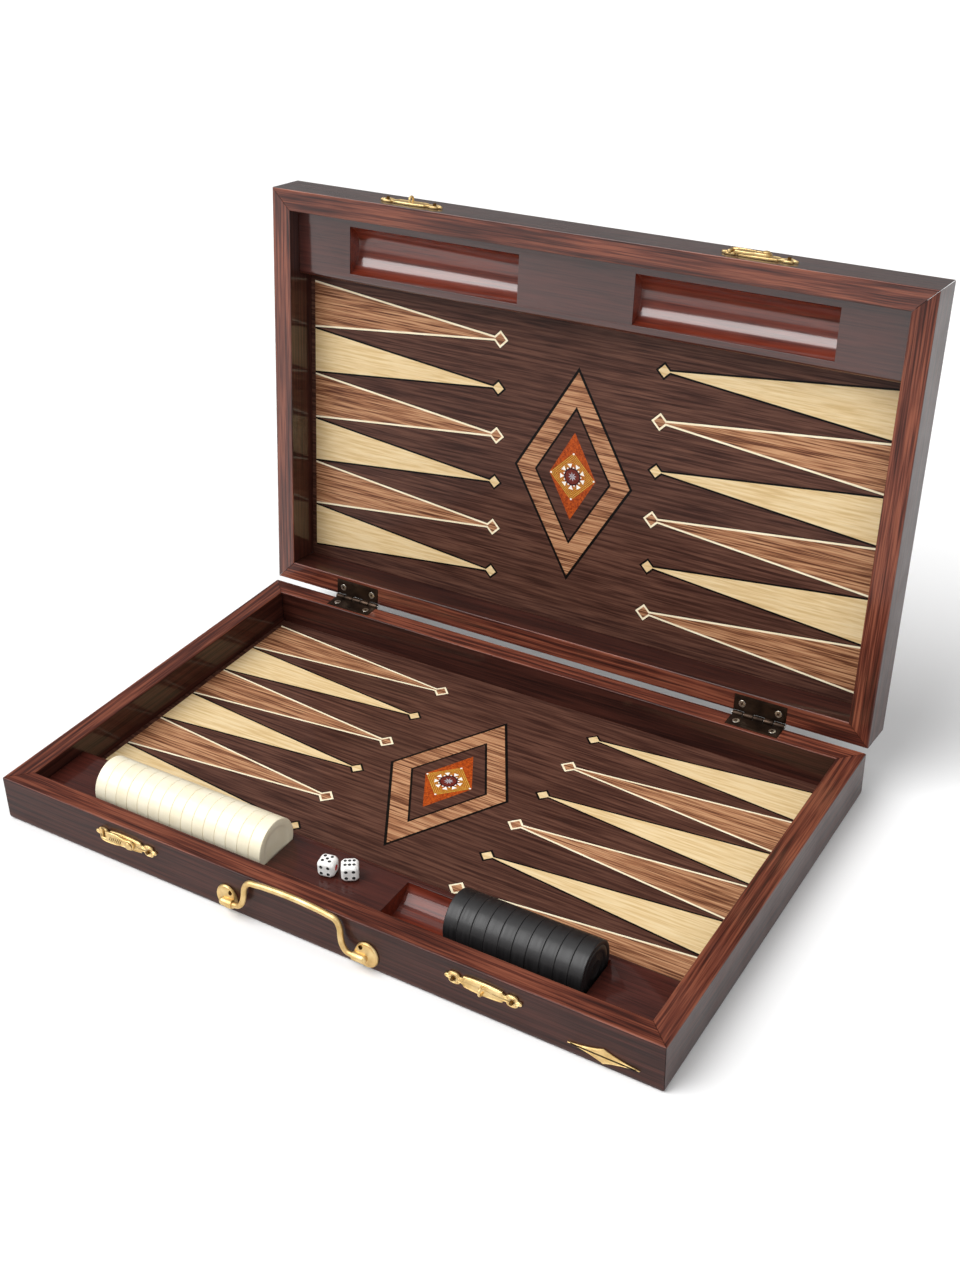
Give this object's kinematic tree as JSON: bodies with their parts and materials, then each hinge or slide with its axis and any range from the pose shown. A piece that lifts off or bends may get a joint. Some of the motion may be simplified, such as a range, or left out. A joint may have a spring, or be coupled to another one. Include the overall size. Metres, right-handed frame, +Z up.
{
  "type": "backgammon case",
  "caption": "Folding wooden backgammon case standing open, with inlaid playing fields, checker racks, hook latches, bail handle, checkers and dice.",
  "frame": {"origin": "centre of the base tray's underside, on the surface the case stands on", "axes": "+X along the hinge line, to the right seen from the front; +Y from the front to the hinged back; +Z up"},
  "size_m": [0.48, 0.3794, 0.3429],
  "materials": {
    "rosewood_rail": "gloss lacquer",
    "field_veneer": "satin lacquer",
    "rack_wood": "gloss lacquer",
    "brass": "satin",
    "hinge_bronze": "aged bronze plated",
    "steel": "satin",
    "ivory_checker": "polished",
    "ebony_checker": "turned and polished",
    "die_white": "polished"
  },
  "bodies": {
    "base": {"base_front_rail": "rosewood_rail", "base_back_rail": "rosewood_rail", "base_left_rail": "rosewood_rail", "base_right_rail": "rosewood_rail", "base_board": "field_veneer", "base_checker_rack": "rack_wood", "left_hinge_base_leaf": "hinge_bronze", "right_hinge_base_leaf": "hinge_bronze", "left_hinge_pin": "steel", "right_hinge_pin": "steel", "left_latch_hook_plate": "brass", "left_latch_pivot_rivet": "brass", "right_latch_staple_plate": "brass", "handle_left_plate": "brass", "handle_right_plate": "brass", "front_ornament": "brass"},
    "lid": {"lid_front_rail": "rosewood_rail", "lid_back_rail": "rosewood_rail", "lid_left_rail": "rosewood_rail", "lid_right_rail": "rosewood_rail", "lid_board": "field_veneer", "lid_checker_rack": "rack_wood", "left_hinge_lid_leaf": "hinge_bronze", "right_hinge_lid_leaf": "hinge_bronze", "left_latch_staple_plate": "brass", "right_latch_hook_plate": "brass", "right_latch_pivot_rivet": "brass"},
    "left_hook": {"left_latch_hook": "brass"},
    "right_hook": {"right_latch_hook": "brass"},
    "handle": {"handle_bail": "brass"},
    "white_checkers": {"white_checker_01": "ivory_checker", "white_checker_02": "ivory_checker", "white_checker_03": "ivory_checker", "white_checker_04": "ivory_checker", "white_checker_05": "ivory_checker", "white_checker_06": "ivory_checker", "white_checker_07": "ivory_checker", "white_checker_08": "ivory_checker", "white_checker_09": "ivory_checker", "white_checker_10": "ivory_checker", "white_checker_11": "ivory_checker", "white_checker_12": "ivory_checker", "white_checker_13": "ivory_checker", "white_checker_14": "ivory_checker", "white_checker_15": "ivory_checker"},
    "black_checkers": {"black_checker_01": "ebony_checker", "black_checker_02": "ebony_checker", "black_checker_03": "ebony_checker", "black_checker_04": "ebony_checker", "black_checker_05": "ebony_checker", "black_checker_06": "ebony_checker", "black_checker_07": "ebony_checker", "black_checker_08": "ebony_checker", "black_checker_09": "ebony_checker", "black_checker_10": "ebony_checker"},
    "left_die": {"die_left": "die_white"},
    "right_die": {"die_right": "die_white"}
  },
  "joints": [
    {"name": "lid_hinge", "type": "hinge", "parent": "base", "child": "lid", "pos_m": [0, 0.1536, 0.034], "axis": [-1, 0, 0], "range_deg": [-96, 84]},
    {"name": "left_hook_swing", "type": "hinge", "parent": "base", "child": "left_hook", "pos_m": [-0.129, -0.1545, 0.0225], "axis": [0, 1, 0], "range_deg": [0, 90]},
    {"name": "right_hook_swing", "type": "hinge", "parent": "lid", "child": "right_hook", "pos_m": [0.129, 0.19724, 0.33921], "axis": [0, 0.1045, 0.9945], "range_deg": [0, 90]},
    {"name": "handle_swing", "type": "hinge", "parent": "base", "child": "handle", "pos_m": [-0.0015, -0.1568, 0.0115], "axis": [1, 0, 0], "range_deg": [0, 115]},
    {"name": "white_checkers_lift", "type": "slide", "parent": "base", "child": "white_checkers", "axis": [0, 0, 1], "range_m": [0, 0.05]},
    {"name": "black_checkers_lift", "type": "slide", "parent": "base", "child": "black_checkers", "axis": [0, 0, 1], "range_m": [0, 0.05]},
    {"name": "left_die_lift", "type": "slide", "parent": "base", "child": "left_die", "axis": [0, 0, 1], "range_m": [0, 0.05]},
    {"name": "right_die_lift", "type": "slide", "parent": "base", "child": "right_die", "axis": [0, 0, 1], "range_m": [0, 0.05]}
  ]
}
